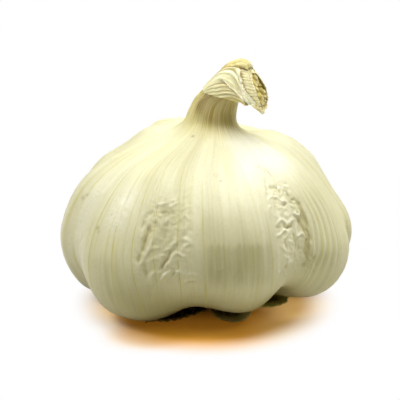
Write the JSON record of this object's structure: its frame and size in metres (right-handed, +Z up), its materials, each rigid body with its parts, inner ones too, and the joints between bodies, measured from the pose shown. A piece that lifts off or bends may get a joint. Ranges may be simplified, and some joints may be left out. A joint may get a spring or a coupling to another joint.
{
  "type": "garlic bulb",
  "caption": "Whole dry garlic bulb in papery cream skin, with a bent dry neck and a trimmed root plate; rests on its base.",
  "frame": {"origin": "middle of the root plate's flat underside, on the surface that the bulb rests on", "axes": "+Z up, out through the neck; -Y is the front; +X is the side that the bent neck points to"},
  "size_m": [0.0641, 0.0613, 0.0547],
  "materials": {
    "bulb_skin": "papery cream skin drawn tight over the cloves, satin, with fine veins from root to neck",
    "outer_sheath": "dry pale leaf sheath, satin, fibrous along the neck",
    "middle_sheath": "dry beige leaf sheath, matt, finely wrinkled across",
    "inner_sheath": "golden crumpled dry sheath, matt",
    "heart_leaf": "brown-gold dry heart of the neck, matt and crumpled",
    "top_scrap": "crumpled tan scrap of dry skin, matt",
    "root_plate": "dry corky plate with cut root stubs, rough and matt",
    "dark_base_skin": "torn dark skin and rootlets, matt",
    "olive_base_skin": "curled olive-grey old skin, satin, with a paler rim",
    "green_base_skin": "torn yellow-green old skin, satin"
  },
  "bodies": {
    "root": {"bulb": "bulb_skin", "outer_sheath": "outer_sheath", "middle_sheath": "middle_sheath", "inner_sheath": "inner_sheath", "heart_leaf": "heart_leaf", "top_scrap": "top_scrap", "root_plate": "root_plate", "base_skin_front": "dark_base_skin", "base_skin_middle": "olive_base_skin", "base_skin_right": "green_base_skin"}
  },
  "joints": []
}
